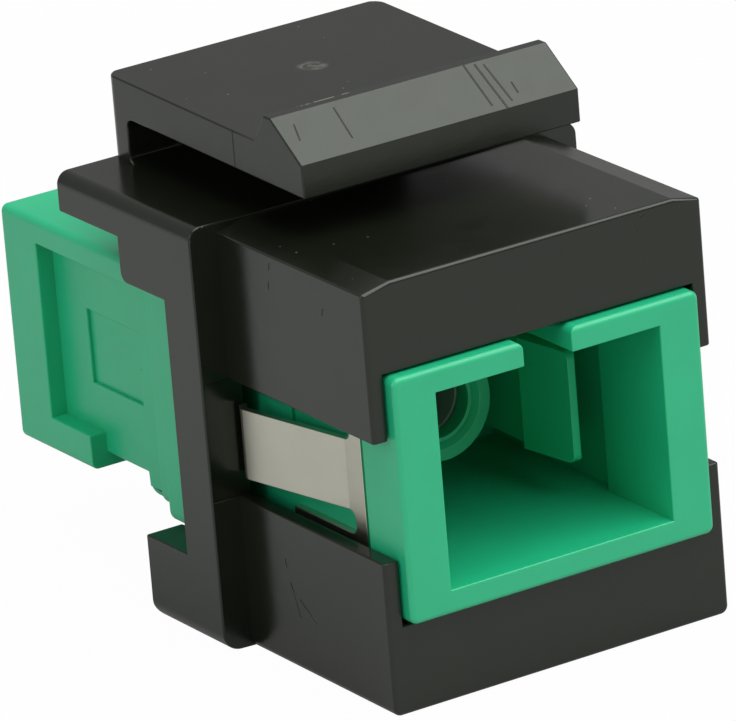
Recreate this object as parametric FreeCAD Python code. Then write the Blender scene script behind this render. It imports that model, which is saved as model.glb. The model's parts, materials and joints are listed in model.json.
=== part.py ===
import FreeCAD, Part
import math
import os

from FreeCAD import Vector

# Fibre adapter in a snap-in keystone housing, millimetres.
# Origin at the middle of the fibre axis. -Y is the front port, +Y the rear port, +Z the latch side.

# Adapter body, two welded half shells
adapter_length = 27.0
adapter_width = 13.1
adapter_height = 9.3
body_corner = 0.3
end_edge = 0.2
port_width = 9.6
port_height = 7.45
key_slot_width = 2.05
key_slot_length = 5.0
key_slot_corner = 0.3
end_band = 2.45
side_recess_depth = 0.7
side_recess_top = 1.0
side_recess_bottom = 1.38
ledge_end = 5.2
strap_channel_width = 2.95
strap_channel_depth = 0.52
strap_corner = 0.15
pad_drop = 0.6
pad_corner = 0.9
sight_pocket_length = 3.65
sight_pocket_height = 2.9
sight_pocket_depth = 0.15
sight_pocket_from_end = 4.6
wall_relief = 0.4
wall_relief_from_end = 4.2

# Flange where the two shells meet
flange_overhang_x = 0.4
flange_overhang_z = 0.27
flange_corner = 0.5
front_flange = 1.25
rear_flange = 2.2
rear_rib = 1.15

# Latch inserts inside the shells, each with two hooks and half of the sleeve holder
insert_plate = 1.2
insert_lip_x = 0.4
insert_lip_z = 0.38
insert_play = 0.05
holder_radius = 2.1
holder_lip = 1.0
holder_mouth_radius = 1.45
holder_mouth_chamfer = 0.2
hook_height = 4.3
hook_inner_x = 3.2
hook_outer_x = 3.9
hook_crest_x = 2.8
hook_tip_width = 0.35
hook_ramp = 2.7
hook_catch = 0.4
hook_tip_from_end = 3.8
hook_corner = 0.35
hook_tip_radius = 0.1

# Alignment sleeve, a slotted ceramic tube
sleeve_bore_radius = 1.25
sleeve_radius = 1.6
sleeve_length = 10.1
sleeve_slot = 0.5
sleeve_play = 0.05
sleeve_end_play = 0.05

# Panel spring clip, folded from one strip of sheet
clip_sheet = 0.3
clip_play = 0.06
clip_front_gap = 0.77
clip_front_strip = 0.7
clip_bar = 0.85
clip_corner = 0.35
wing_height = 2.7
wing_drop = 0.12
wing_flare = 1.05
wing_curl = 0.45
wing_curl_in = 0.25
wing_bend_radius = 0.3
wing_clearance = 0.2

# Keystone housing
nose_width = 14.5
nose_height = 16.2
nose_length = 9.6
nose_corner = 0.3
nose_edge = 0.15
bevel_width = 1.2
bevel_drop = 0.26
adapter_clearance = 0.08
wing_slot_height = 4.5
wing_seat_depth = 0.1
web_width = 16.8
web_thickness = 2.15
web_rise = 0.12
web_top_corner = 0.5
web_bottom_corner = 0.75
ledge_length = 7.0
ledge_thickness = 1.52
shoulder_length = 2.95
shoulder_clearance = 0.08
shoulder_corner = 0.4
foot_length = 2.8
foot_rise = 0.12
foot_clearance = 0.05
foot_corner = 0.6

# Keystone latch, which flexes at the foot of its upright wall
latch_width = 11.9
latch_root = 1.3
latch_gap = 1.74
latch_thickness = 1.5
latch_droop = 0.2
latch_length = 13.3
latch_window_corner = 0.35
latch_top_radius = 0.1
wedge_radius = 0.05
wedge_height = 1.1
wedge_front_face = 1.27
wedge_slope = 1.9
wedge_land = 0.45
wedge_back = 0.8
latch_root_clearance = 0.05

# How far fused forms run into each other, and how far a cutting form runs past the face it opens
overlap = 0.1
run_out = 1.0

# Places that follow from the sizes above
half_length = adapter_length / 2
half_width = adapter_width / 2
half_height = adapter_height / 2
port_x = port_width / 2
port_z = port_height / 2
recess_x = half_width - side_recess_depth
recess_top_z = half_height - side_recess_top
recess_bottom_z = -half_height + side_recess_bottom
recess_end = half_length - end_band
ledge_end_y = half_length - ledge_end
channel_end = ledge_end_y - strap_channel_width
strap_floor_z = -half_height + strap_channel_depth
flange_x = half_width + flange_overhang_x
flange_z = half_height + flange_overhang_z
pad_bottom = -half_height - pad_drop
relief_x = port_x + wall_relief
pocket_x = relief_x + insert_lip_x
pocket_z = port_z + insert_lip_z
pocket_y = insert_plate + insert_play
web_rear = -front_flange
web_front = web_rear - web_thickness
wing_seat = web_front + wing_seat_depth
wing_root = recess_end - clip_front_gap - clip_front_strip
wing_low = -wing_height / 2 - wing_drop
wing_high = wing_height / 2 - wing_drop
nose_front = web_front - nose_length
nose_z = nose_height / 2
web_top = nose_z + web_rise
ledge_rear = web_rear + ledge_length
hinge_radius = latch_root / 2
hinge_y = ledge_rear - hinge_radius
hinge_z = web_top


def rounded_wire(corners, place):
    """Closed wire through corners (u, v, radius), each corner an arc where its radius is not 0."""
    edges = []
    ends = []
    count = len(corners)
    for i, (u, v, radius) in enumerate(corners):
        here = Vector(u, v, 0)
        before = Vector(corners[i - 1][0], corners[i - 1][1], 0) - here
        after = Vector(corners[(i + 1) % count][0], corners[(i + 1) % count][1], 0) - here
        before.normalize()
        after.normalize()
        if radius <= 0:
            ends.append((here, here, None))
            continue
        half = before.getAngle(after) / 2
        reach = radius / math.tan(half)
        inward = before + after
        inward.normalize()
        middle = here + inward * (radius / math.sin(half) - radius)
        ends.append((here + before * reach, here + after * reach, middle))
    for i, (start, stop, middle) in enumerate(ends):
        if middle is not None:
            edges.append(Part.Arc(place(start), place(middle), place(stop)).toShape())
        following = ends[(i + 1) % count][0]
        if (following - stop).Length > 1e-6:
            edges.append(Part.LineSegment(place(stop), place(following)).toShape())
    return Part.Wire(edges)


def prism_along_x(corners, x0, x1):
    """Solid whose section in the Y-Z plane is given by corners (y, z, radius)."""
    wire = rounded_wire(corners, lambda p: Vector(x0, p.x, p.y))
    return Part.Face(wire).extrude(Vector(x1 - x0, 0, 0))


def prism_along_y(corners, y0, y1):
    """Solid whose section in the X-Z plane is given by corners (x, z, radius)."""
    wire = rounded_wire(corners, lambda p: Vector(p.x, y0, p.y))
    return Part.Face(wire).extrude(Vector(0, y1 - y0, 0))


def prism_along_z(corners, z0, z1):
    """Solid whose section in the X-Y plane is given by corners (x, y, radius)."""
    wire = rounded_wire(corners, lambda p: Vector(p.x, p.y, z0))
    return Part.Face(wire).extrude(Vector(0, 0, z1 - z0))


def block(x0, x1, y0, y1, z0, z1):
    return Part.makeBox(x1 - x0, y1 - y0, z1 - z0, Vector(x0, y0, z0))


def rectangle(half_u, low_v, high_v, low_radius=0.0, high_radius=0.0):
    return [
        (-half_u, low_v, low_radius),
        (half_u, low_v, low_radius),
        (half_u, high_v, high_radius),
        (-half_u, high_v, high_radius),
    ]


def rod(radius, y0, y1):
    return Part.makeCylinder(radius, y1 - y0, Vector(0, y0, 0), Vector(0, 1, 0))


def mirrored_x(shape):
    return shape.mirror(Vector(0, 0, 0), Vector(1, 0, 0))


def to_front(shape):
    """The same piece on the front side of the middle plane."""
    return shape.mirror(Vector(0, 0, 0), Vector(0, 1, 0))


def rounded_end(shape, y, radius):
    """Rounds the outer edges of an end face that lies in the plane at y."""
    rim = [e for e in shape.Edges if abs(e.BoundBox.YMin - y) < 1e-6 and abs(e.BoundBox.YMax - y) < 1e-6]
    return shape.makeFillet(radius, rim)


def clip_channel(reach):
    """Space beside and below the strap floor, out to a given reach past the body."""
    outer = prism_along_y(
        rectangle(half_width + reach, -half_height - reach, recess_bottom_z + overlap), channel_end, ledge_end_y)
    core = prism_along_y(rectangle(recess_x, strap_floor_z, half_height, strap_corner), channel_end, ledge_end_y)
    return outer.cut(core)


def shell_outside():
    """Rear half of the adapter body without its flange or port, standing on the middle plane."""
    body = prism_along_y(rectangle(half_width, -half_height, half_height, body_corner, body_corner), 0, half_length)
    body = rounded_end(body, half_length, end_edge)
    outside = half_width + run_out
    recess = block(recess_x, outside, 0, recess_end, recess_bottom_z, recess_top_z)
    pocket_end = half_length - sight_pocket_from_end
    pocket = block(
        recess_x - sight_pocket_depth, outside, pocket_end - sight_pocket_length, pocket_end,
        -sight_pocket_height / 2, sight_pocket_height / 2)
    waist = block(recess_x, outside, 0, channel_end, -half_height - run_out, recess_bottom_z + overlap)
    cuts = [clip_channel(run_out)]
    for cut in (recess, pocket, waist):
        cuts += [cut, mirrored_x(cut)]
    return body.cut(cuts)


def shell_inside():
    """Port, hook relief, key slot and the pocket that holds the insert's plate."""
    past_end = half_length + run_out
    port = block(-port_x, port_x, 0, past_end, -port_z, port_z)
    relief = block(-relief_x, relief_x, 0, half_length - wall_relief_from_end, -port_z, port_z)
    plate_pocket = block(-pocket_x, pocket_x, -run_out, pocket_y, -pocket_z, pocket_z)
    key_half = key_slot_width / 2
    above = half_height + run_out
    lip_x = key_half + 2 * key_slot_corner
    key_section = [
        (-key_half, 0, 0),
        (key_half, 0, 0),
        (key_half, half_height, key_slot_corner),
        (lip_x, half_height, 0),
        (lip_x, above, 0),
        (-lip_x, above, 0),
        (-lip_x, half_height, 0),
        (-key_half, half_height, key_slot_corner),
    ]
    key_slot = prism_along_y(key_section, half_length - key_slot_length, past_end)
    return port.fuse([relief, plate_pocket, key_slot])


def flange_ring(x, z, y0, y1):
    return prism_along_y(rectangle(x, -z, z, flange_corner, flange_corner), y0, y1)


def adapter_shell(rings):
    return shell_outside().fuse(rings).cut(shell_inside()).removeSplitter()


def adapter_rear_shell():
    ring = flange_ring(flange_x, flange_z, 0, rear_flange)
    rib = flange_ring(half_width, half_height, rear_flange - overlap, rear_flange + rear_rib)
    pad = prism_along_y(rectangle(recess_x, pad_bottom, 0, pad_corner), rear_flange - overlap, channel_end)
    return adapter_shell([ring, rib, pad])


def adapter_front_shell():
    return to_front(adapter_shell([flange_ring(flange_x, flange_z, 0, front_flange)]))


def latch_hook():
    """One spring hook on the +X side, pointing to the port, with its lead-in ramp and catch."""
    tip = half_length - hook_tip_from_end
    crest = tip - hook_ramp
    outline = [
        (hook_inner_x, insert_plate - overlap, 0),
        (hook_inner_x, crest - hook_catch, 0),
        (hook_crest_x, crest, hook_tip_radius),
        (hook_outer_x - 2 * hook_tip_width, tip, 0),
        (hook_outer_x - hook_tip_width, tip, hook_tip_radius),
        (hook_outer_x, crest, 0),
        (hook_outer_x, insert_plate - overlap, 0),
    ]
    hook = prism_along_z(outline, -hook_height / 2, hook_height / 2)
    sides = prism_along_x(
        [
            (0, -hook_height / 2, 0),
            (tip, -hook_height / 2, hook_corner),
            (tip, hook_height / 2, hook_corner),
            (0, hook_height / 2, 0),
        ],
        0, half_width)
    return hook.common(sides)


def latch_insert():
    """Rear inner moulding: plate, two hooks and half of the sleeve holder."""
    plate_x = pocket_x - insert_play
    plate_z = pocket_z - insert_play
    plate = block(-plate_x, plate_x, 0, insert_plate, -plate_z, plate_z)
    holder_inside = sleeve_length / 2 + sleeve_end_play
    holder_end = holder_inside + holder_lip
    holder = rod(holder_radius, 0, holder_end)
    hook = latch_hook()
    insert = plate.fuse([holder, hook, mirrored_x(hook)])
    seat = rod(sleeve_radius + sleeve_play, -run_out, holder_inside)
    mouth = rod(holder_mouth_radius, 0, holder_end + run_out)
    lead_in = Part.makeCone(
        holder_mouth_radius, holder_mouth_radius + holder_mouth_chamfer, holder_mouth_chamfer,
        Vector(0, holder_end - holder_mouth_chamfer, 0), Vector(0, 1, 0))
    return insert.cut([seat, mouth, lead_in]).removeSplitter()


def alignment_sleeve():
    half = sleeve_length / 2
    past_end = half + run_out
    bore = rod(sleeve_bore_radius, -past_end, past_end)
    slot = block(-sleeve_slot / 2, sleeve_slot / 2, -past_end, past_end, 0, sleeve_radius + run_out)
    return rod(sleeve_radius, -half, half).cut([bore, slot])


def clip_leg():
    """Flat frame of the clip in the +X side recess of the front shell, built on the rear side."""
    low = recess_bottom_z + clip_play
    high = -low
    near = channel_end + clip_play
    open_end = near - run_out
    inside = recess_x - run_out
    outside = recess_x + run_out
    leg = block(recess_x, recess_x + clip_sheet, near, wing_root + clip_front_strip, low, high)
    cuts = [block(inside, outside, open_end, wing_root - clip_corner, wing_low - overlap, wing_high + overlap)]
    for z0, z1 in ((low + clip_bar, wing_low), (wing_high, high - clip_bar)):
        window = [
            (open_end, z0, 0),
            (wing_root, z0, clip_corner),
            (wing_root, z1, clip_corner),
            (open_end, z1, 0),
        ]
        cuts.append(prism_along_x(window, inside, outside))
    return leg.cut(cuts)


def clip_wing():
    """Wing that flares out through the slot of the housing, its free end curled in."""
    start = wing_root - clip_corner
    tip = -wing_seat + wing_clearance
    bend = tip + wing_curl
    outer = recess_x + clip_sheet
    outline = [
        (recess_x, start + overlap, 0),
        (recess_x, start, 0),
        (recess_x + wing_flare, bend, 0),
        (recess_x + wing_flare - wing_curl_in, tip, 0),
        (outer + wing_flare - wing_curl_in, tip, 0),
        (outer + wing_flare, bend, wing_bend_radius),
        (outer, start, 0),
        (outer, start + overlap, 0),
    ]
    return prism_along_z(outline, wing_low, wing_high)


def panel_spring_clip():
    """Strap under the body, a leg up each side and a wing cut from each leg."""
    near = channel_end + clip_play
    far = ledge_end_y - clip_play
    low = recess_bottom_z + clip_play
    outside = rectangle(
        recess_x + clip_sheet, strap_floor_z - clip_sheet, low + overlap, strap_corner + clip_sheet)
    inside = rectangle(recess_x, strap_floor_z, low + run_out, strap_corner)
    strap = prism_along_y(outside, near, far).cut(prism_along_y(inside, near - run_out, far + run_out))
    side = clip_leg().fuse(clip_wing())
    return to_front(strap.fuse([side, mirrored_x(side)]).removeSplitter())


def housing_nose():
    """Front block of the housing, its two long top edges bevelled."""
    x = nose_width / 2
    outline = [
        (-x, -nose_z, nose_corner),
        (x, -nose_z, nose_corner),
        (x, nose_z - bevel_drop, 0),
        (x - bevel_width, nose_z, 0),
        (-x + bevel_width, nose_z, 0),
        (-x, nose_z - bevel_drop, 0),
    ]
    return rounded_end(prism_along_y(outline, nose_front, web_front + overlap), nose_front, nose_edge)


def housing_web():
    """Wide web that stops on the panel, with the ledge over the adapter and the foot below it."""
    section = rectangle(web_width / 2, -nose_z, web_top, web_bottom_corner, web_top_corner)
    solid = prism_along_y(section, web_front, ledge_rear)
    shoulder_y = web_rear + shoulder_length
    shoulder_z = flange_z + shoulder_clearance
    ledge_z = web_top - ledge_thickness
    foot_y = web_rear + foot_length
    foot_z = -flange_z + foot_rise
    side_view = [
        (web_front, -nose_z, 0),
        (foot_y, -nose_z, foot_corner),
        (foot_y, foot_z, 0),
        (web_rear, foot_z, 0),
        (web_rear, shoulder_z, 0),
        (shoulder_y, shoulder_z, shoulder_corner),
        (shoulder_y, ledge_z, 0),
        (ledge_rear, ledge_z, 0),
        (ledge_rear, web_top, 0),
        (web_front, web_top, 0),
    ]
    seat_x = flange_x + foot_clearance
    over_foot = foot_z + run_out
    flange_seat = block(-seat_x, seat_x, web_rear, half_length, -flange_z - foot_clearance, over_foot)
    pad_front = rear_flange - overlap - foot_clearance
    pad_seat = block(-seat_x, seat_x, pad_front, half_length, pad_bottom - foot_clearance, over_foot)
    return solid.common(prism_along_x(side_view, -web_width, web_width)).cut([flange_seat, pad_seat])


def keystone_housing():
    bore_x = half_width + adapter_clearance
    bore_z = half_height + adapter_clearance
    bore = block(-bore_x, bore_x, nose_front - run_out, web_rear + run_out, -bore_z, bore_z)
    slot = block(
        -nose_width / 2 - run_out, nose_width / 2 + run_out, nose_front - run_out, wing_seat,
        -wing_slot_height / 2, wing_slot_height / 2)
    groove_half = latch_width / 2 + latch_root_clearance
    groove = Part.makeCylinder(
        hinge_radius + latch_root_clearance, 2 * groove_half,
        Vector(-groove_half, hinge_y, hinge_z), Vector(1, 0, 0))
    return housing_nose().fuse(housing_web()).cut([bore, slot, groove]).removeSplitter()


def keystone_latch():
    """Upright wall and arm over the ledge, with the wedge that hooks behind the panel."""
    root_front = ledge_rear - latch_root
    under_root = web_top + latch_gap
    top_root = under_root + latch_thickness
    front = ledge_rear - latch_length
    under_tip = under_root - latch_droop
    top_tip = top_root - latch_droop
    ridge = top_tip + wedge_height
    arm = [
        (ledge_rear, hinge_z, 0),
        (ledge_rear, top_root, latch_top_radius),
        (front + wedge_slope + wedge_land + wedge_back, top_tip, 0),
        (front + wedge_slope + wedge_land, ridge, wedge_radius),
        (front + wedge_slope, ridge, wedge_radius),
        (front, under_tip + wedge_front_face, wedge_radius),
        (front, under_tip, wedge_radius),
        (root_front, under_root, latch_window_corner),
        (root_front, hinge_z, 0),
    ]
    half = latch_width / 2
    latch = prism_along_x(arm, -half, half)
    knuckle = Part.makeCylinder(
        hinge_radius, latch_width, Vector(-half, hinge_y, hinge_z), Vector(1, 0, 0))
    return latch.fuse(knuckle).removeSplitter()


def write_parts():
    os.makedirs("parts", exist_ok=True)
    insert = latch_insert()
    pieces = {
        "keystone_housing": keystone_housing(),
        "keystone_latch": keystone_latch(),
        "adapter_front_shell": adapter_front_shell(),
        "adapter_rear_shell": adapter_rear_shell(),
        "front_latch_insert": to_front(insert),
        "rear_latch_insert": insert,
        "alignment_sleeve": alignment_sleeve(),
        "panel_spring_clip": panel_spring_clip(),
    }
    for name, shape in pieces.items():
        solids = shape.Solids
        if len(solids) != 1 or not shape.isValid():
            raise ValueError(f"{name}: {len(solids)} solids, valid {shape.isValid()}")
        solids[0].exportStep(f"parts/{name}.step")
        print(name, round(shape.Volume, 2))


write_parts()
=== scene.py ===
"""Looks of a push-pull fibre adapter in its keystone housing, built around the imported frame."""

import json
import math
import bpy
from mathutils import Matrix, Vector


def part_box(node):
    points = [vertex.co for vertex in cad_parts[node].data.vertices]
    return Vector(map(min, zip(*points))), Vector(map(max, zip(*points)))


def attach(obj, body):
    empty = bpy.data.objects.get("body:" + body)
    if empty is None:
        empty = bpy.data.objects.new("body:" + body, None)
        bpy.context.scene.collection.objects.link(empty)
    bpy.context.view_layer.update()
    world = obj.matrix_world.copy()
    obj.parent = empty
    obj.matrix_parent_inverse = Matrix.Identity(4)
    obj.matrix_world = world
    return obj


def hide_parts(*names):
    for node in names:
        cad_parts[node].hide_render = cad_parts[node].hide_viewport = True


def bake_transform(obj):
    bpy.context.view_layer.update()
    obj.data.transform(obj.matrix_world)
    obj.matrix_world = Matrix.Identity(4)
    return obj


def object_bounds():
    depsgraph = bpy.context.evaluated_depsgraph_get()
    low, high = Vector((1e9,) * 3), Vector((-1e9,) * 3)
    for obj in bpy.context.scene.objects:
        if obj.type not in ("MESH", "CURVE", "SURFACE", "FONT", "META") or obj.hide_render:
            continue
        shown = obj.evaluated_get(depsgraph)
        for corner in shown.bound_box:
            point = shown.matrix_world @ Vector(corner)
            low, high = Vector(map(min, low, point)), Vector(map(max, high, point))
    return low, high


bl_info = {
    "name": "Keystone Fibre Adapter",
    "version": (1, 0, 0),
    "blender": (4, 5, 0),
    "location": "3D View > Sidebar > Fibre Adapter",
    "description": "Moulded skins, finishes, stage and camera for a fibre adapter in a keystone housing",
    "category": "Object",
}

import bmesh
import bpy
from bpy.props import FloatProperty, FloatVectorProperty, PointerProperty
from mathutils import Matrix, Vector
from mathutils.bvhtree import BVHTree

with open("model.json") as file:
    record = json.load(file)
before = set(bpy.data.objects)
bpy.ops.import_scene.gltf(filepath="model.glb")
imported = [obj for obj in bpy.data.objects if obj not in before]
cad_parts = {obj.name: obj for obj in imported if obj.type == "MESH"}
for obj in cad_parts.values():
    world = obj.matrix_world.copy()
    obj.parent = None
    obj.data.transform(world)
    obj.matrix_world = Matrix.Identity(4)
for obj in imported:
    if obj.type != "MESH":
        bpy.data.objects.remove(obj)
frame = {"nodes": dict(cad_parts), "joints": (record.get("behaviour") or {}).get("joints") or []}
cad_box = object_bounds()
MM = 0.001

# Vertices closer than these, in metres, are one: in a node's mesh, after a union, and on a cut
weld_gap = 1e-7
union_gap = 2e-6
cut_gap = 1e-8

# Edges of the frame's nodes that the new pieces line up with
ledge_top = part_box("keystone_housing")[1].z
latch_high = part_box("keystone_latch")[1]
latch_rear = latch_high.y
latch_half = latch_high.x
shell_low, shell_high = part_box("adapter_front_shell")
sleeve_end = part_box("alignment_sleeve")[1].y
hinge = Vector(frame["joints"][0]["pos_m"])
root_thickness = 2 * (latch_rear - hinge.y)

# The upright wall bends from the ledge up to here, in this many rows of faces
bend_top = ledge_top + 1.7 * MM
bend_rows = 10

# The foot under the adapter's flange
foot_front = shell_high.y - 1.3 * MM
foot_rear = shell_high.y + 1.55 * MM
foot_top = shell_low.z + 0.12 * MM

# The lip in the sleeve holder's mouth, its ends measured from the middle along the fibre axis
lip_inner_end = sleeve_end + 0.12 * MM
lip_outer_end = sleeve_end + 0.82 * MM
lip_outer_radius = 1.5 * MM
lip_steps = 48


class MouldSizes(bpy.types.PropertyGroup):
    """Small roundings and marks of the moulded and folded pieces."""

    black_edge: FloatProperty(
        name="Black edge radius", description="Rounding of the housing's and latch's edges",
        default=0.07 * MM, unit="LENGTH", precision=5)
    green_edge: FloatProperty(
        name="Green edge radius", description="Rounding of the adapter shells' edges",
        default=0.06 * MM, unit="LENGTH", precision=5)
    insert_edge: FloatProperty(
        name="Insert edge radius", description="Rounding of the hooks and the sleeve holder",
        default=0.015 * MM, unit="LENGTH", precision=5)
    clip_edge: FloatProperty(
        name="Clip edge radius", description="Rounding that punching leaves on the sheet's edges",
        default=0.03 * MM, unit="LENGTH", precision=5)
    sleeve_edge: FloatProperty(
        name="Sleeve edge radius", description="Rounding of the ceramic sleeve's rims",
        default=0.03 * MM, unit="LENGTH", precision=5)
    root_fillet: FloatProperty(
        name="Root fillet", description="Fillet between the ledge and the latch's upright wall",
        default=0.3 * MM, unit="LENGTH", precision=5)
    wall_corner: FloatProperty(
        name="Wall corner radius",
        description="Rounding of the upright wall's two rear corners, seen from above",
        default=0.6 * MM, unit="LENGTH", precision=5)
    flange_corner: FloatProperty(
        name="Flange corner radius",
        description="Corner of the adapter's flange, which the foot's seat follows",
        default=0.5 * MM, unit="LENGTH", precision=5)
    mouth_radius: FloatProperty(
        name="Mouth radius", description="Opening of the thin lip that holds the sleeve in its holder",
        default=1.29 * MM, unit="LENGTH", precision=5)
    parting_depth: FloatProperty(
        name="Parting line depth",
        description="Depth of the mould's parting line on the latch's sides",
        default=0.05 * MM, unit="LENGTH", precision=5)
    parting_width: FloatProperty(
        name="Parting line width", description="Half width of the mould's parting line",
        default=0.045 * MM, unit="LENGTH", precision=5)
    parting_place: FloatProperty(
        name="Parting line place",
        description="Where the parting line crosses the latch, along the fibre axis",
        default=-2.99 * MM, unit="LENGTH", precision=5)


class FinishColours(bpy.types.PropertyGroup):
    """Colours and surface strength of the finishes."""

    black: FloatVectorProperty(
        name="Black plastic", description="Colour of the housing and latch",
        subtype="COLOR", size=3, default=(0.0078, 0.009, 0.0055), min=0, max=1)
    green: FloatVectorProperty(
        name="Green plastic", description="Colour of the adapter shells and inserts",
        subtype="COLOR", size=3, default=(0.015, 0.50, 0.235), min=0, max=1)
    steel: FloatVectorProperty(
        name="Spring steel", description="Colour of the clip",
        subtype="COLOR", size=3, default=(0.62, 0.61, 0.52), min=0, max=1)
    # The sleeve's colour is white ceramic darkened and tinted green: painted shade and painted green
    # bounce light deep in the holder
    ceramic: FloatVectorProperty(
        name="Ceramic", description="Colour of the alignment sleeve",
        subtype="COLOR", size=3, default=(0.30, 0.36, 0.30), min=0, max=1)
    # Besides rubbing, nicks, specks and smear, this pale colour also paints the highlight on the web's
    # front corner
    worn: FloatVectorProperty(
        name="Worn plastic", description="Colour of rubbed edges and scratches on the black plastic",
        subtype="COLOR", size=3, default=(0.20, 0.19, 0.17), min=0, max=1)
    wear_and_highlight: FloatProperty(
        name="Wear", description="Share of the rubbed edges and specks that shows",
        default=1.0, min=0, max=1, subtype="FACTOR")
    grain: FloatProperty(
        name="Grain depth", description="Depth of the moulded surface's fine grain",
        default=0.0012 * MM, unit="LENGTH", precision=6)


class StageLook(bpy.types.PropertyGroup):
    """Floor, light and camera."""

    floor_size: FloatProperty(
        name="Floor size", description="Side of the square floor", default=1.6, unit="LENGTH")
    floor_gap: FloatProperty(
        name="Floor gap",
        description="Hair of air under the object, so that its base and the floor stay apart",
        default=0.02 * MM, unit="LENGTH", precision=5)
    ambient: FloatProperty(
        name="Ambient", description="Strength of the pale surroundings", default=0.33, min=0, max=2)
    softbox_size: FloatProperty(
        name="Softbox size", description="Side of the square softbox overhead",
        default=0.62, unit="LENGTH")
    softbox_glow: FloatProperty(
        name="Softbox glow", description="Brightness of the softbox's face, where white paper is 1",
        default=2.9, min=0)
    fill_size: FloatProperty(
        name="Fill size", description="Side of the square fill light on the left",
        default=0.3, unit="LENGTH")
    fill_glow: FloatProperty(
        name="Fill glow", description="Brightness of the fill light's face", default=1.75, min=0)
    lens: FloatProperty(
        name="Lens", description="Focal length in millimetres on a 36 mm wide sensor",
        default=452.5, min=10, unit="CAMERA")


class Finish:
    """Node tree of one material. Its patterns read the piece's own place, in millimetres."""

    def __init__(self, name):
        self.material = bpy.data.materials.new(name)
        self.material.use_nodes = True
        self.tree = self.material.node_tree
        self.tree.nodes.clear()
        self.shader = self.add("ShaderNodeBsdfPrincipled")
        output = self.add("ShaderNodeOutputMaterial")
        self.tree.links.new(self.shader.outputs["BSDF"], output.inputs["Surface"])
        coordinates = self.add("ShaderNodeTexCoord")
        self.place = self.vector("MULTIPLY", coordinates.outputs["Object"], (1 / MM,) * 3)

    def add(self, kind, settings=None, inputs=None):
        """A node with its settings, its inputs each a number, a colour or another node's socket."""
        node = self.tree.nodes.new(kind)
        for name, value in (settings or {}).items():
            setattr(node, name, value)
        for name, value in (inputs or {}).items():
            self.feed(node.inputs[name], value)
        return node

    def feed(self, socket, value):
        """Links another node's socket, or sets a plain value."""
        if isinstance(value, bpy.types.NodeSocket):
            self.tree.links.new(value, socket)
        else:
            socket.default_value = value

    def vector(self, operation, first, second=None, output="Vector"):
        node = self.add("ShaderNodeVectorMath", {"operation": operation}, {0: first})
        if second is not None:
            self.feed(node.inputs[1], second)
        return node.outputs[output]

    def scaled(self, vector, share):
        inputs = {"Vector": vector, "Scale": share}
        return self.add("ShaderNodeVectorMath", {"operation": "SCALE"}, inputs).outputs["Vector"]

    def number(self, operation, first, second=0.0, clamp=False):
        settings = {"operation": operation, "use_clamp": clamp}
        return self.add("ShaderNodeMath", settings, {0: first, 1: second}).outputs[0]

    def between(self, value, low, high):
        """0 below low, 1 above high. With low above high it falls instead."""
        settings = {"interpolation_type": "SMOOTHSTEP"}
        inputs = {"Value": value, "From Min": low, "From Max": high}
        return self.add("ShaderNodeMapRange", settings, inputs).outputs["Result"]

    def spread(self, scale, detail, low, span):
        """Noise that runs from low to low plus span."""
        share = self.number("MULTIPLY", self.noise(scale, detail), span)
        return self.number("ADD", low, share)

    def noise(self, scale, detail=2.0, place=None, output="Fac"):
        inputs = {"Vector": place or self.place, "Scale": scale, "Detail": detail}
        return self.add("ShaderNodeTexNoise", None, inputs).outputs[output]

    def mixed(self, share, first, second):
        """Colour from first to second as share goes from 0 to 1."""
        node = self.add("ShaderNodeMix", {"data_type": "RGBA"}, {0: share})
        self.feed(node.inputs[6], first)
        self.feed(node.inputs[7], second)
        return node.outputs[2]

    def stroke(self, start, end, width, place=None):
        """1 on a line from start to end, places in millimetres, fading to 0 at width from it."""
        place = place or self.place
        core = 0.35 * width
        along = Vector(end) - Vector(start)
        offset = self.vector("SUBTRACT", place, tuple(start))
        step = self.vector("DOT_PRODUCT", offset, tuple(along / along.length_squared), "Value")
        step_on_line = self.number("ADD", step, 0.0, clamp=True)
        foot = self.scaled(tuple(along), step_on_line)
        gap = self.vector("SUBTRACT", offset, foot)
        distance = self.vector("LENGTH", gap, output="Value")
        return self.between(distance, low=width, high=core)

    def most(self, values):
        """The largest of several masks."""
        total = values[0]
        for value in values[1:]:
            total = self.number("MAXIMUM", total, value)
        return total

    def bump(self, height, distance, normal=None):
        """Bump whose full height is a real distance in metres."""
        inputs = {"Height": height, "Distance": distance, "Strength": 1.0}
        if normal is not None:
            inputs["Normal"] = normal
        return self.add("ShaderNodeBump", None, inputs).outputs["Normal"]

    def set(self, **inputs):
        """Feeds the shader's sockets, underscores standing for the spaces in their names."""
        for name, value in inputs.items():
            self.feed(self.shader.inputs[name.replace("_", " ")], value)


def opaque(colour, share=1.0):
    """A colour dimmed or lifted by a share, with full alpha."""
    return (colour[0] * share, colour[1] * share, colour[2] * share, 1.0)


# Marks on the black plastic: each a line's two ends and how far it fades to the side, in millimetres
# Pale lines on edges: the first three are rubbing along the nose's front-top edge, the last is a painted
# highlight on the web's top-left front corner
rubbed_edges_and_highlight = [
    ((-7.2, -13.0, 8.03), (-5.6, -13.0, 8.08), 0.16),
    ((-5.6, -13.0, 8.1), (1.2, -13.0, 8.1), 0.13),
    ((1.2, -13.0, 8.1), (7.0, -13.0, 7.95), 0.11),
    ((-8.4, -3.4, 7.7), (-7.8, -3.4, 8.2), 0.07),
]
slope_scratches = [
    ((2.33, -5.7, 12.33), (2.38, -7.29, 11.21), 0.045),
    ((2.76, -5.77, 12.28), (2.89, -7.55, 11.03), 0.05),
    ((3.09, -5.85, 12.22), (3.23, -7.31, 11.2), 0.045),
    ((3.66, -6.7, 11.62), (3.64, -7.1, 11.35), 0.04),
    ((-3.39, -5.9, 12.19), (-3.44, -7.05, 11.38), 0.04),
    ((-5.22, -6.09, 12.05), (-5.37, -6.66, 11.66), 0.035),
]
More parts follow.
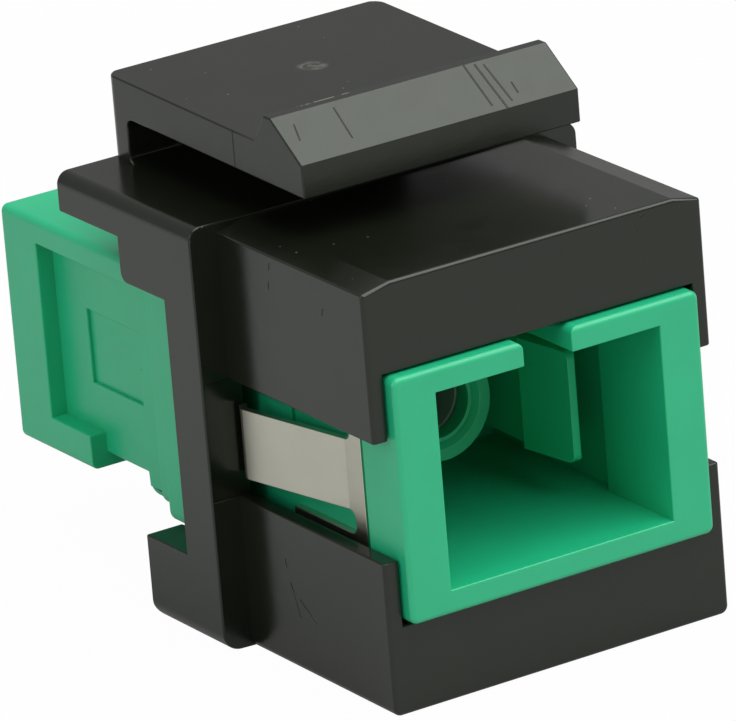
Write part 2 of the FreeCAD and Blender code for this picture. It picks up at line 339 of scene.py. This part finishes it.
ejector_mark = ((-0.02, 1.05, 11.45), (0.12, 0.85, 11.45), 0.6)
ridge_edge = ((-4.5, -5.2, 12.35), (-2.4, -5.2, 12.35), 0.13)
side_scratches = [
    ((-7.25, -6.26, -3.9), (-7.25, -6.6, -4.9), 0.05),
    ((-7.25, -6.6, -4.9), (-7.25, -6.95, -5.9), 0.04),
    ((-7.25, -7.06, -5.26), (-7.25, -8.3, -5.87), 0.045),
    ((-7.25, -6.88, 7.6), (-7.25, -6.71, 6.5), 0.04),
    ((-7.25, -10.37, 6.75), (-7.25, -10.27, 6.5), 0.05),
    ((4.27, -13.0, 7.77), (4.76, -13.0, 7.94), 0.07),
    ((4.27, -13.0, 7.77), (4.4, -13.0, 7.3), 0.06),
]


def black_plastic():
    """Satin black styrenic: fine grain, slow waviness, rubbing on edges, scratches and dust specks, with
    a painted highlight on one corner, painted shade in the scratches and the light's tint painted into
    its reflections.
    """
    looks = bpy.context.scene.adapter_colours
    finish = Finish("black plastic")

    # Stretches of rubbing along edges, and a painted highlight on the web's front corner, broken up by
    # noise
    edge = finish.add("ShaderNodeAttribute", {"attribute_name": "rounded_edge"}).outputs["Fac"]
    chips = finish.between(finish.noise(scale=6.0, detail=3.0), low=0.45, high=0.6)
    stretches = finish.most([finish.stroke(*edge_line) for edge_line in rubbed_edges_and_highlight])
    rubbed_and_highlight = finish.number("MULTIPLY", finish.number("MULTIPLY", edge, stretches), chips)

    # Scratches, straight on the slope and wandering a little on the sides
    reach = 0.35
    wander = finish.noise(scale=0.8, detail=1.0, output="Color")
    wobble = finish.scaled(finish.vector("SUBTRACT", wander, (0.5, 0.5, 0.5)), reach)
    wandering = finish.vector("ADD", finish.place, wobble)
    scratches = finish.most(
        [finish.stroke(*line) for line in slope_scratches]
        + [finish.stroke(*line, place=wandering) for line in side_scratches])

    # Dust specks in a share of the cells, only on faces that look up
    cells = 1.5
    share = 0.24
    dust = finish.add("ShaderNodeTexVoronoi", {"feature": "F1"}, {"Vector": finish.place, "Scale": cells})
    speck = finish.between(dust.outputs["Distance"], low=0.075, high=0.05)
    chosen = finish.add("ShaderNodeSeparateColor", None, {0: dust.outputs["Color"]}).outputs[0]
    specks = finish.number("MULTIPLY", speck, finish.number("LESS_THAN", chosen, share))
    facing = finish.add("ShaderNodeNewGeometry").outputs["True Normal"]
    upward = finish.vector("DOT_PRODUCT", facing, (0, 0, 1), "Value")
    specks = finish.number("MULTIPLY", specks, finish.between(upward, low=0.8, high=0.95))

    # The ejector pin's mark on the arm and nicks along the ridge
    ejector = finish.stroke(*ejector_mark, place=wandering)
    patches = finish.between(finish.noise(scale=3.5, detail=3.0), low=0.35, high=0.55)
    smear = finish.number("MULTIPLY", ejector, patches)
    broken = finish.between(finish.noise(scale=4.0, detail=1.0), low=0.5, high=0.56)
    nicks = finish.number("MULTIPLY", finish.stroke(*ridge_edge), broken)

    # Colour: specks, smear and scratches cover only half of what lies under them. The scratches' darker
    # colour is painted shade in their grooves
    cover = 0.5
    cloud = finish.noise(scale=0.35, detail=3.0)
    colour = finish.mixed(cloud, opaque(looks.black, 0.8), opaque(looks.black, 1.25))
    faint = [finish.number("MULTIPLY", mask, cover) for mask in (specks, smear)]
    pale = finish.most([rubbed_and_highlight, nicks, *faint])
    # The pale marks include the painted highlight on the web's corner, among the rubbing lines
    colour = finish.mixed(finish.number("MULTIPLY", pale, looks.wear_and_highlight), colour, opaque(looks.worn))
    # Painted shade in the scratches' grooves, covering half of the colour under them
    scratch_shade = finish.number("MULTIPLY", scratches, cover)
    colour = finish.mixed(scratch_shade, colour, opaque(looks.black, 0.3))

    # Roughness, more of it on marks, and relief in shares of the grain's depth
    dulled = 0.25
    rough = finish.spread(scale=1.3, detail=4.0, low=0.15, span=0.12)
    marked = finish.number("ADD", scratches, pale)
    rough = finish.number("ADD", rough, finish.number("MULTIPLY", marked, dulled))
    grain = finish.bump(finish.noise(scale=10.0), looks.grain * 1.8)
    wave = finish.bump(finish.noise(scale=0.45, detail=1.0), looks.grain * 2.5, grain)
    cut = finish.bump(finish.number("SUBTRACT", 1.0, scratches), looks.grain * 12, wave)
    # The specular tint paints the light's greenish tint into the plastic's reflections
    finish.set(
        Base_Color=colour, Roughness=rough, Normal=cut,
        Specular_Tint=(0.93, 1.0, 0.92, 1.0), IOR=1.54)
    return finish.material


def green_plastic():
    """Satin green polyester that lets a little light through its walls."""
    looks = bpy.context.scene.adapter_colours
    finish = Finish("green plastic")
    cloud = finish.noise(scale=0.4, detail=3.0)
    colour = finish.mixed(cloud, opaque(looks.green, 0.93), opaque(looks.green, 1.07))
    rough = finish.spread(scale=1.6, detail=4.0, low=0.3, span=0.15)
    grain = finish.bump(finish.noise(scale=8.0), looks.grain * 1.4)
    wave = finish.bump(finish.noise(scale=0.5, detail=1.0), looks.grain * 6, grain)
    finish.set(
        Base_Color=colour, Roughness=rough, Normal=wave, Subsurface_Weight=0.2,
        Subsurface_Radius=(0.2, 1.0, 0.5), Subsurface_Scale=0.5 * MM, IOR=1.6)
    return finish.material


def spring_steel():
    """Rolled stainless strip, faintly stained, its fine lines running along the fibre axis."""
    looks = bpy.context.scene.adapter_colours
    finish = Finish("spring steel")
    rolled = finish.vector("MULTIPLY", finish.place, (9.0, 0.5, 14.0))
    lines = finish.noise(scale=1.0, detail=3.0, place=rolled)
    stain = finish.between(finish.noise(scale=0.6, detail=4.0), low=0.3, high=0.8)
    colour = finish.mixed(stain, opaque(looks.steel, 1.0), opaque(looks.steel, 0.93))
    rough = finish.number("ADD", 0.26, finish.number("MULTIPLY", lines, 0.16))
    finish.set(
        Base_Color=colour, Roughness=rough, Metallic=1.0,
        Normal=finish.bump(lines, looks.grain * 1.2))
    return finish.material


def zirconia():
    """Ground and polished ceramic, its white darkened and tinted green as painted shade and painted green
    bounce light deep in its holder.
    """
    looks = bpy.context.scene.adapter_colours
    finish = Finish("zirconia ceramic")
    rings = finish.vector("MULTIPLY", finish.place, (1.0, 14.0, 1.0))
    ground = finish.noise(scale=1.0, place=rings)
    cloud = finish.noise(scale=0.8)
    colour = finish.mixed(cloud, opaque(looks.ceramic, 0.97), opaque(looks.ceramic, 1.02))
    rough = finish.number("ADD", 0.12, finish.number("MULTIPLY", ground, 0.1))
    finish.set(
        Base_Color=colour, Roughness=rough, Normal=finish.bump(ground, looks.grain * 0.5),
        Subsurface_Weight=0.1, Subsurface_Scale=0.3 * MM, IOR=1.7)
    return finish.material


def welded_copy(node):
    """A bmesh of one frame node, its loose triangles welded and its flat faces made whole."""
    bm = bmesh.new()
    bm.from_mesh(frame["nodes"][node].data)
    bmesh.ops.remove_doubles(bm, verts=bm.verts, dist=weld_gap)
    make_flats_whole(bm)
    return bm


def make_flats_whole(bm, angle=0.6):
    """Joins faces that turn by less than an angle in degrees."""
    bmesh.ops.dissolve_limit(bm, angle_limit=math.radians(angle), verts=bm.verts, edges=bm.edges)


def outer_edges(bm, angle=32.0):
    """Edges that stand out, where two faces meet at more than an angle in degrees."""
    limit = math.radians(angle)
    return [e for e in bm.edges if e.is_convex and e.calc_face_angle(0.0) > limit]


def round_edges(bm, radius, segments=3):
    """Rounds every edge that stands out and marks the new faces as rounded edge, where the black plastic
    paints its rubbing and a painted highlight.

    Where roundings meet, a corner that left the old surface by more than a share of the radius is
    put back on it, and faces without any area are taken out.
    """
    proud_limit, sunk_limit, least_edge = 0.02 * radius, 0.7 * radius, 0.01 * radius
    worn = bm.faces.layers.float.new("rounded_edge")
    before = BVHTree.FromBMesh(bm)
    made = bmesh.ops.bevel(
        bm, geom=outer_edges(bm), offset=radius, offset_type="OFFSET", segments=segments, profile=0.5,
        affect="EDGES", clamp_overlap=False, material=-1)
    for face in made["faces"]:
        face[worn] = 1.0
    for vert in bm.verts:
        nearest, normal, index, distance = before.find_nearest(vert.co)
        proud = (vert.co - nearest).dot(normal) > 0
        if distance > (proud_limit if proud else sunk_limit):
            vert.co = nearest
    bmesh.ops.dissolve_degenerate(bm, dist=least_edge, edges=bm.edges)


def shade_smoothly(mesh, angle=40.0, flat_area=5 * MM ** 2):
    """Keeps large flat faces flat, and lets rounded edges and curved faces turn smoothly."""
    limit = math.cos(math.radians(angle))
    worn = mesh.attributes["rounded_edge"].data
    around = [[] for vertex in mesh.vertices]
    for polygon in mesh.polygons:
        polygon.use_smooth = True
        for vertex in polygon.vertices:
            around[vertex].append(polygon)
    normals = []
    for polygon in mesh.polygons:
        for vertex in polygon.vertices:
            leading = [polygon]
            if polygon.area < flat_area:
                near = [other for other in around[vertex] if polygon.normal.dot(other.normal) > limit]
                leading = [other for other in near if not worn[other.index].value] or near
            total = sum((other.normal * other.area for other in leading), Vector())
            normals.append(total.normalized())
    mesh.normals_split_custom_set(normals)


def as_object(name, bm, material):
    """An object at the origin with its edges shaded smooth."""
    mesh = bpy.data.meshes.new(name)
    bm.to_mesh(mesh)
    bm.free()
    mesh.materials.append(material)
    shade_smoothly(mesh)
    piece = bpy.data.objects.new(name, mesh)
    bpy.context.scene.collection.objects.link(piece)
    return piece


def block(low, high):
    """A closed box from its lowest to its highest corner."""
    bm = bmesh.new()
    bmesh.ops.create_cube(bm, size=1.0)
    low, high = Vector(low), Vector(high)
    bmesh.ops.scale(bm, vec=high - low, verts=bm.verts)
    bmesh.ops.translate(bm, vec=(high + low) / 2, verts=bm.verts)
    return bm


def bar(outline, sweep):
    """A closed bar: a flat outline of places, swept along a vector."""
    bm = bmesh.new()
    face = bm.faces.new([bm.verts.new(place) for place in outline])
    swept = bmesh.ops.extrude_face_region(bm, geom=[face])
    moved = [v for v in swept["geom"] if isinstance(v, bmesh.types.BMVert)]
    bmesh.ops.translate(bm, vec=sweep, verts=moved)
    bmesh.ops.recalc_face_normals(bm, faces=bm.faces)
    return bm


def arc(centre, radius, start, end, steps=6):
    """Places on an arc in a plane, its angles in degrees."""
    turns = [math.radians(start + (end - start) * i / steps) for i in range(steps + 1)]
    return [(centre[0] + radius * math.cos(turn), centre[1] + radius * math.sin(turn)) for turn in turns]


def root_fillet_bar(radius, sunk=0.2 * MM):
    """Bar under the concave fillet at the upright wall's foot, sunk in the wall and the ledge."""
    wall = latch_rear - root_thickness
    base = ledge_top - sunk
    outline = [(wall + sunk, ledge_top + radius), (wall + sunk, base), (wall - radius, base)]
    outline += arc((wall - radius, ledge_top + radius), radius, -90, 0)
    return bar([(-latch_half, y, z) for y, z in outline], (2 * latch_half, 0, 0))


def seat_corner_bar(side, radius, gap=0.06 * MM, sunk=0.1 * MM):
    """Corner of the seat in the foot's top, which follows the flange's rounded corner."""
    centre = (shell_high.x - radius, shell_low.z + radius)
    reach = radius + gap
    base = centre[1] - reach - sunk
    outer = shell_high.x + sunk
    rise = math.degrees(math.asin((centre[1] - foot_top) / reach))
    outline = arc(centre, reach, -rise, -90)
    outline += [(centre[0], base), (outer, base), (outer, foot_top)]
    return bar([(side * x, foot_front, z) for x, z in outline], (0, foot_rear - foot_front, 0))


def mouth_lip(end, radius):
    """Thin ring in the holder's mouth that covers the sleeve's rim, at the front or the rear end."""
    places = [
        (radius, lip_inner_end), (radius, lip_outer_end),
        (lip_outer_radius, lip_outer_end), (lip_outer_radius, lip_inner_end)]
    bm = bmesh.new()
    ring = [bm.verts.new((x, end * y, 0)) for x, y in places]
    edges = [bm.edges.new((ring[i - 1], ring[i])) for i in range(len(ring))]
    bmesh.ops.spin(
        bm, geom=ring + edges, axis=(0, 1, 0), cent=(0, 0, 0), steps=lip_steps, angle=2 * math.pi,
        use_merge=True)
    bmesh.ops.remove_doubles(bm, verts=bm.verts, dist=weld_gap)
    bmesh.ops.recalc_face_normals(bm, faces=bm.faces)
    return bm


def united(parts, cuts=()):
    """One closed bmesh from several overlapping ones, less what is cut away."""
    holders = []
    for i, bm in enumerate([*parts, *cuts]):
        mesh = bpy.data.meshes.new(f"moulding part {i}")
        bm.to_mesh(mesh)
        bm.free()
        holder = bpy.data.objects.new(mesh.name, mesh)
        bpy.context.scene.collection.objects.link(holder)
        holders.append(holder)
    for i, other in enumerate(holders[1:], start=1):
        step = holders[0].modifiers.new("step", "BOOLEAN")
        step.operation = "UNION" if i < len(parts) else "DIFFERENCE"
        step.solver = "EXACT"
        step.object = other
    depsgraph = bpy.context.evaluated_depsgraph_get()
    joined = bpy.data.meshes.new_from_object(holders[0].evaluated_get(depsgraph))
    bm = bmesh.new()
    bm.from_mesh(joined)
    for holder in holders:
        bpy.data.objects.remove(holder)
    bmesh.ops.remove_doubles(bm, verts=bm.verts, dist=union_gap)
    make_flats_whole(bm)
    return bm


def cut_levels(bm, point, normal, offsets):
    """Cuts every face where it crosses planes at the given offsets along a normal."""
    for offset in offsets:
        bmesh.ops.bisect_plane(
            bm, geom=bm.verts[:] + bm.edges[:] + bm.faces[:], dist=cut_gap,
            plane_co=Vector(point) + Vector(normal) * offset, plane_no=normal)


def press_parting_line(bm, sizes):
    """Sinks a fine line into both sides of the latch where the halves of its mould met."""
    width = sizes.parting_width
    above = ledge_top + 0.5 * MM
    arm = [f for f in bm.faces if f.calc_center_median().z > above]
    geometry = set(arm) | {e for f in arm for e in f.edges} | {v for f in arm for v in f.verts}
    for offset in (-width, 0.0, width):
        cut = bmesh.ops.bisect_plane(
            bm, geom=list(geometry), dist=cut_gap,
            plane_co=(0, sizes.parting_place + offset, 0), plane_no=(0, 1, 0))
        geometry |= set(cut["geom"])
    for vert in bm.verts:
        on_line = abs(vert.co.y - sizes.parting_place) < width / 10
        if on_line and vert.co.z > above and abs(vert.co.x) > latch_half - width:
            vert.co.x -= math.copysign(sizes.parting_depth, vert.co.x)


def wall_corner_waste(side, radius, past=0.3 * MM):
    """What lies outside the rounded rear corner of the upright wall, on one side."""
    centre = (latch_half - radius, latch_rear - radius)
    outline = arc(centre, radius, 0, 90)
    outline += [(centre[0], latch_rear + past), (latch_half + past, latch_rear + past)]
    outline.append((latch_half + past, centre[1]))
    return bar([(side * x, y, ledge_top) for x, y in outline], (0, 0, latch_high.z - ledge_top))


def moulding():
    """Housing and latch as the one moulding they are, with rows of faces cut across the latch's root,
    where it bends.
    """
    sizes = bpy.context.scene.adapter_sizes
    filler_half = latch_half + 0.1 * MM
    filler_front = latch_rear - root_thickness - sizes.root_fillet
    filler_base = ledge_top - root_thickness * 0.8
    filler = block(
        (-filler_half, filler_front, filler_base), (filler_half, latch_rear, ledge_top))
    parts = [welded_copy("keystone_housing"), filler, welded_copy("keystone_latch")]
    parts.append(root_fillet_bar(sizes.root_fillet))
    parts += [seat_corner_bar(side, sizes.flange_corner) for side in (-1, 1)]
    bm = united(parts, [wall_corner_waste(side, sizes.wall_corner) for side in (-1, 1)])
    round_edges(bm, sizes.black_edge)
    press_parting_line(bm, sizes)
    levels = [(i + 0.5) / bend_rows * (bend_top - ledge_top) for i in range(bend_rows)]
    cut_levels(bm, (0, 0, ledge_top), (0, 0, 1), levels)
    piece = as_object("keystone_moulding", bm, black_plastic())
    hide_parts("keystone_housing", "keystone_latch")
    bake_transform(piece)


def skin(name, node, radius, material, added=()):
    """A copy of one node, with what is added to it and its edges rounded, on the adapter's body."""
    bm = welded_copy(node)
    if added:
        bm = united([bm, *added])
    round_edges(bm, radius)
    piece = as_object(name, bm, material)
    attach(piece, "adapter_body")
    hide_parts(node)


class ADAPTER_OT_moulding(bpy.types.Operator):
    """Make the black housing and latch"""

    bl_idname = "adapter.moulding"
    bl_label = "Housing and Latch"

    def execute(self, context):
        moulding()
        return {"FINISHED"}


class ADAPTER_OT_shells(bpy.types.Operator):
    """Make the two green shells and the inserts inside them"""

    bl_idname = "adapter.shells"
    bl_label = "Adapter Shells"

    def execute(self, context):
        sizes = context.scene.adapter_sizes
        material = green_plastic()
        for end, side in (("front", -1), ("rear", 1)):
            skin(
                f"{end}_shell_skin", f"adapter_{end}_shell", sizes.green_edge, material)
            skin(
                f"{end}_insert_skin", f"{end}_latch_insert", sizes.insert_edge, material,
                added=[mouth_lip(side, sizes.mouth_radius)])
        return {"FINISHED"}


class ADAPTER_OT_clip(bpy.types.Operator):
    """Make the folded spring clip"""

    bl_idname = "adapter.clip"
    bl_label = "Spring Clip"

    def execute(self, context):
        radius = context.scene.adapter_sizes.clip_edge
        skin("spring_clip_skin", "panel_spring_clip", radius, spring_steel())
        return {"FINISHED"}


class ADAPTER_OT_sleeve(bpy.types.Operator):
    """Make the slotted ceramic sleeve"""

    bl_idname = "adapter.sleeve"
    bl_label = "Alignment Sleeve"

    def execute(self, context):
        radius = context.scene.adapter_sizes.sleeve_edge
        skin("ceramic_sleeve_skin", "alignment_sleeve", radius, zirconia())
        return {"FINISHED"}


def seen_share(tree, camera, others):
    """Light Path share: one value for camera rays, another for glossy and transmitted ones."""
    path = tree.nodes.new("ShaderNodeLightPath")
    total = None
    shares = {"Is Camera Ray": camera, "Is Glossy Ray": others, "Is Transmission Ray": others}
    for output, share in shares.items():
        scaled = tree.nodes.new("ShaderNodeMath")
        scaled.operation = "MULTIPLY"
        tree.links.new(path.outputs[output], scaled.inputs[0])
        scaled.inputs[1].default_value = share
        if total is None:
            total = scaled.outputs[0]
            continue
        largest = tree.nodes.new("ShaderNodeMath")
        largest.operation = "MAXIMUM"
        tree.links.new(total, largest.inputs[0])
        tree.links.new(scaled.outputs[0], largest.inputs[1])
        total = largest.outputs[0]
    return total


def floor_paper():
    """White paper that keeps a faint shadow where the camera sees it."""
    material = bpy.data.materials.new("floor paper")
    material.use_nodes = True
    tree = material.node_tree
    tree.nodes.clear()
    paper = tree.nodes.new("ShaderNodeBsdfDiffuse")
    paper.inputs["Color"].default_value = (0.5, 0.5, 0.5, 1)
    white = tree.nodes.new("ShaderNodeEmission")
    mix = tree.nodes.new("ShaderNodeMixShader")
    tree.links.new(seen_share(tree, camera=0.98, others=0.16), mix.inputs[0])
    tree.links.new(paper.outputs[0], mix.inputs[1])
    tree.links.new(white.outputs[0], mix.inputs[2])
    output = tree.nodes.new("ShaderNodeOutputMaterial")
    tree.links.new(mix.outputs[0], output.inputs["Surface"])
    return material


def pale_world(ambient):
    """White behind the object, dimmer pale light from all sides."""
    world = bpy.data.worlds.new("pale surroundings")
    world.use_nodes = True
    tree = world.node_tree
    tree.nodes.clear()
    around = tree.nodes.new("ShaderNodeBackground")
    around.inputs["Strength"].default_value = ambient
    white = tree.nodes.new("ShaderNodeBackground")
    white.inputs["Strength"].default_value = 1.0
    for background in (around, white):
        background.inputs["Color"].default_value = (1, 1, 1, 1)
    mix = tree.nodes.new("ShaderNodeMixShader")
    tree.links.new(seen_share(tree, camera=1.0, others=0.0), mix.inputs[0])
    tree.links.new(around.outputs[0], mix.inputs[1])
    tree.links.new(white.outputs[0], mix.inputs[2])
    output = tree.nodes.new("ShaderNodeOutputWorld")
    tree.links.new(mix.outputs[0], output.inputs["Surface"])
    return world


def softbox(name, place, size, glow):
    """A square area light at a place in metres, facing the object's middle."""
    lamp = bpy.data.lights.new(name, "AREA")
    lamp.shape = "SQUARE"
    lamp.size = size
    lamp.energy = glow * math.pi * size ** 2
    holder = bpy.data.objects.new(name, lamp)
    holder.location = place
    holder.rotation_euler = (-Vector(place)).to_track_quat("-Z", "Y").to_euler()
    bpy.context.scene.collection.objects.link(holder)


# Places of the lights, in metres from the object's middle
softbox_place = (0.125, -0.175, 0.45)
fill_place = (-0.45, -0.05, 0.2)

# The photograph's viewpoint, solved from the object's corners: degrees and millimetres
view_azimuth = -31.424
view_elevation = 19.748
view_roll = -4.761
view_place = (-166.26, -273.36, 114.98)


def photo_camera(lens):
    """Camera at the photograph's viewpoint, turned by its azimuth, elevation and roll."""
    azimuth, elevation = math.radians(view_azimuth), math.radians(view_elevation)
    level = math.cos(elevation)
    back = Vector((math.sin(azimuth) * level, -math.cos(azimuth) * level, math.sin(elevation)))
    right = (-back).cross(Vector((0, 0, 1))).normalized()
    up = back.cross(right)
    turn = Matrix.Rotation(math.radians(view_roll), 3, back)
    axes = Matrix((turn @ right, turn @ up, back)).transposed()
    data = bpy.data.cameras.new("photo camera")
    data.sensor_width = 36.0
    data.lens = lens
    data.clip_start = 0.01
    data.clip_end = 20.0
    camera = bpy.data.objects.new("photo camera", data)
    camera.matrix_world = Matrix.Translation(Vector(view_place) * MM) @ axes.to_4x4()
    bpy.context.scene.collection.objects.link(camera)
    bpy.context.scene.camera = camera


class ADAPTER_OT_stage(bpy.types.Operator):
    """Make the floor, the soft light and the camera"""

    bl_idname = "adapter.stage"
    bl_label = "Stage"

    def execute(self, context):
        look = context.scene.adapter_stage
        bm = bmesh.new()
        bmesh.ops.create_grid(bm, x_segments=1, y_segments=1, size=look.floor_size / 2)
        bmesh.ops.translate(bm, vec=(0, 0, cad_box[0].z - look.floor_gap), verts=bm.verts)
        mesh = bpy.data.meshes.new("floor")
        bm.to_mesh(mesh)
        bm.free()
        mesh.materials.append(floor_paper())
        floor = bpy.data.objects.new("floor", mesh)
        context.scene.collection.objects.link(floor)
        context.scene.world = pale_world(look.ambient)
        softbox("softbox", softbox_place, look.softbox_size, look.softbox_glow)
        softbox("fill", fill_place, look.fill_size, look.fill_glow)
        photo_camera(look.lens)
        context.scene.view_settings.view_transform = "Standard"
        return {"FINISHED"}


class ADAPTER_PT_panel(bpy.types.Panel):
    """Sizes, colours and steps of the fibre adapter"""

    bl_idname = "ADAPTER_PT_panel"
    bl_label = "Fibre Adapter"
    bl_space_type = "VIEW_3D"
    bl_region_type = "UI"
    bl_category = "Fibre Adapter"

    def draw(self, context):
        layout = self.layout
        scene = context.scene
        for group in (scene.adapter_sizes, scene.adapter_colours, scene.adapter_stage):
            box = layout.box()
            for name in group.__annotations__:
                box.prop(group, name)
        for operator in operators:
            layout.operator(operator.bl_idname)


operators = (
    ADAPTER_OT_moulding,
    ADAPTER_OT_shells,
    ADAPTER_OT_clip,
    ADAPTER_OT_sleeve,
    ADAPTER_OT_stage,
)
groups = {"adapter_sizes": MouldSizes, "adapter_colours": FinishColours, "adapter_stage": StageLook}


def register():
    for cls in (*groups.values(), *operators, ADAPTER_PT_panel):
        bpy.utils.register_class(cls)
    for name, cls in groups.items():
        setattr(bpy.types.Scene, name, PointerProperty(type=cls))


def unregister():
    for name in groups:
        delattr(bpy.types.Scene, name)
    for cls in reversed((*groups.values(), *operators, ADAPTER_PT_panel)):
        bpy.utils.unregister_class(cls)


def main():
    register()
    bpy.ops.adapter.moulding()
    bpy.ops.adapter.shells()
    bpy.ops.adapter.clip()
    bpy.ops.adapter.sleeve()
    bpy.ops.adapter.stage()


if __name__ == "__main__":
    main()
